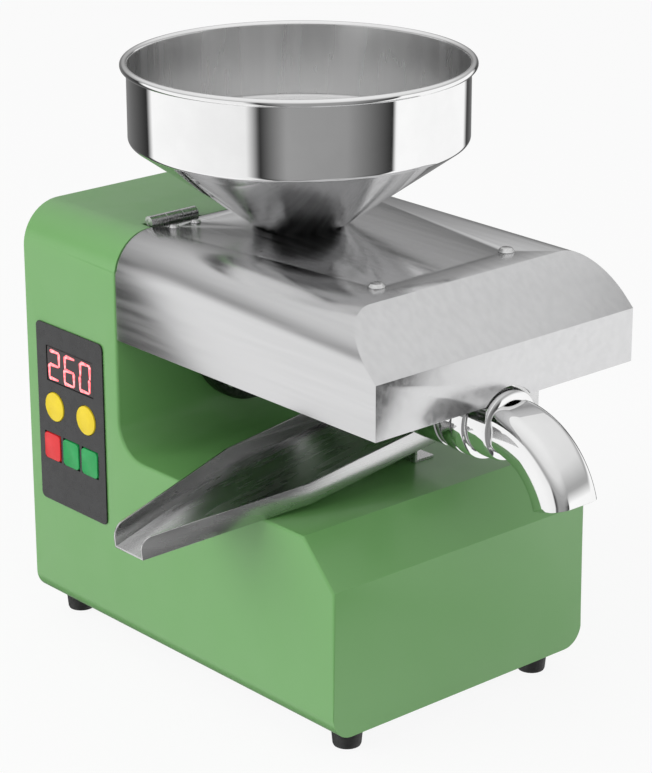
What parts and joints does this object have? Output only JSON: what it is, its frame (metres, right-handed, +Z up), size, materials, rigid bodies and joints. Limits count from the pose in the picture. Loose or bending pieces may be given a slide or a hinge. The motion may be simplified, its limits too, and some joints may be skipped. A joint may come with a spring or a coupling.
{
  "type": "screw oil press",
  "caption": "Household screw oil press: geared motor housing with control panel, horizontal press barrel under a hinged steel hood, round feed hopper, oil tray and curved cake spout.",
  "frame": {"origin": "centre of the overall bounding box, on the floor plane that the four feet stand on", "axes": "+X towards the cake spout, -Y towards the control panel and the oil tray's lip, +Z up"},
  "size_m": [0.3028, 0.2228, 0.2949],
  "materials": {
    "housing": "smooth light green powder coat",
    "galvanised": "plain zinc-plated sheet",
    "rubber": "black rubber",
    "fastener": "zinc-plated screws",
    "panel": "black gloss overlay",
    "display": "dark red display window",
    "yellow_key": "yellow key",
    "red_key": "red key",
    "green_key": "green key",
    "board": "green circuit board",
    "board_post": "white nylon posts",
    "satin_steel": "satin stainless sheet",
    "polished_steel": "spun polished stainless bowl",
    "cast_dark": "dark machined iron",
    "machined_steel": "turned steel",
    "band_steel": "bright clamp band",
    "brass": "brass fitting",
    "cast_aluminium": "cast aluminium",
    "black_plastic": "black moulded fan"
  },
  "bodies": {
    "frame": {"housing_shell": "housing", "bottom_plate": "galvanised", "rear_panel": "housing", "foot_front_near": "rubber", "foot_front_far": "rubber", "foot_rear_near": "rubber", "foot_rear_far": "rubber", "foot_screws": "fastener", "control_panel": "panel", "display_module": "display", "control_board": "board", "board_standoffs": "board_post", "hinge_leaf_column_near": "satin_steel", "hinge_leaf_column_far": "satin_steel", "output_flange": "cast_dark", "flange_bolts": "fastener", "press_barrel": "machined_steel", "heater_band": "band_steel", "temperature_sensor": "brass", "end_bracket": "satin_steel", "ring_nut": "polished_steel", "choke_ring": "machined_steel", "tray_rest": "satin_steel", "gearbox_tub": "cast_aluminium", "gearbox_cover": "cast_aluminium", "output_bearing": "machined_steel", "motor_can": "cast_aluminium", "motor_end_cap": "cast_aluminium", "motor_cradle": "black_plastic", "inlet_socket": "black_plastic"},
    "hood": {"hood_shell": "satin_steel", "hood_strip": "satin_steel", "hood_screws": "fastener", "hinge_leaf_hood_near": "satin_steel", "hinge_leaf_hood_far": "satin_steel", "hinge_pin_near": "fastener", "hinge_pin_far": "fastener", "hinge_screws": "fastener"},
    "hopper_bowl": {"hopper": "polished_steel"},
    "spout": {"cake_spout": "polished_steel"},
    "tray": {"oil_tray": "satin_steel"},
    "key_temperature_up": {"button_temperature_up": "yellow_key"},
    "key_temperature_down": {"button_temperature_down": "yellow_key"},
    "key_power": {"button_power": "red_key"},
    "key_press": {"button_press": "green_key"},
    "key_clear": {"button_clear": "green_key"},
    "screw": {"press_worm": "machined_steel", "output_shaft": "machined_steel", "output_gear": "machined_steel"},
    "idler_a": {"idler_shaft_a": "machined_steel", "idler_gear_a": "machined_steel"},
    "idler_b": {"idler_shaft_b": "machined_steel", "idler_gear_b": "machined_steel"},
    "rotor": {"motor_rotor": "machined_steel", "motor_pinion": "machined_steel", "motor_fan": "black_plastic"}
  },
  "joints": [
    {"name": "motor_spin", "type": "hinge", "parent": "frame", "child": "rotor", "pos_m": [-0.07638, 0.02824, 0.058], "axis": [1, 0, 0], "continuous": true},
    {"name": "idler_a_spin", "type": "hinge", "parent": "frame", "child": "idler_a", "pos_m": [-0.09638, 0.01423, 0.08565], "axis": [1, 0, 0], "continuous": true},
    {"name": "idler_b_spin", "type": "hinge", "parent": "frame", "child": "idler_b", "pos_m": [-0.09638, 0.04224, 0.10866], "axis": [1, 0, 0], "continuous": true},
    {"name": "worm_spin", "type": "hinge", "parent": "frame", "child": "screw", "pos_m": [-0.07638, 0.02824, 0.153], "axis": [1, 0, 0], "continuous": true},
    {"name": "hood_hinge", "type": "hinge", "parent": "frame", "child": "hood", "pos_m": [-0.07948, 0.02824, 0.2168], "axis": [0, -1, 0], "range_deg": [0, 45]},
    {"name": "hopper_lift", "type": "slide", "parent": "hood", "child": "hopper_bowl", "axis": [0, 0, 1], "range_m": [0, 0.12]},
    {"name": "tray_slide", "type": "slide", "parent": "frame", "child": "tray", "axis": [0, -0.9912, -0.1323], "range_m": [0, 0.12]},
    {"name": "spout_pull", "type": "slide", "parent": "frame", "child": "spout", "axis": [1, 0, 0], "range_m": [0, 0.03]},
    {"name": "temperature_up_press", "type": "slide", "parent": "frame", "child": "key_temperature_up", "axis": [0, 1, 0], "range_m": [0, 0.0004], "stiffness_N_per_m": 200},
    {"name": "temperature_down_press", "type": "slide", "parent": "frame", "child": "key_temperature_down", "axis": [0, 1, 0], "range_m": [0, 0.0004], "stiffness_N_per_m": 200},
    {"name": "power_press", "type": "slide", "parent": "frame", "child": "key_power", "axis": [0, 1, 0], "range_m": [0, 0.0004], "stiffness_N_per_m": 200},
    {"name": "press_press", "type": "slide", "parent": "frame", "child": "key_press", "axis": [0, 1, 0], "range_m": [0, 0.0004], "stiffness_N_per_m": 200},
    {"name": "clear_press", "type": "slide", "parent": "frame", "child": "key_clear", "axis": [0, 1, 0], "range_m": [0, 0.0004], "stiffness_N_per_m": 200}
  ],
  "couplings": [
    {"joint": "idler_a_spin", "follows": "motor_spin", "ratio": -0.24},
    {"joint": "idler_b_spin", "follows": "motor_spin", "ratio": 0.062609},
    {"joint": "worm_spin", "follows": "motor_spin", "ratio": -0.015026}
  ]
}
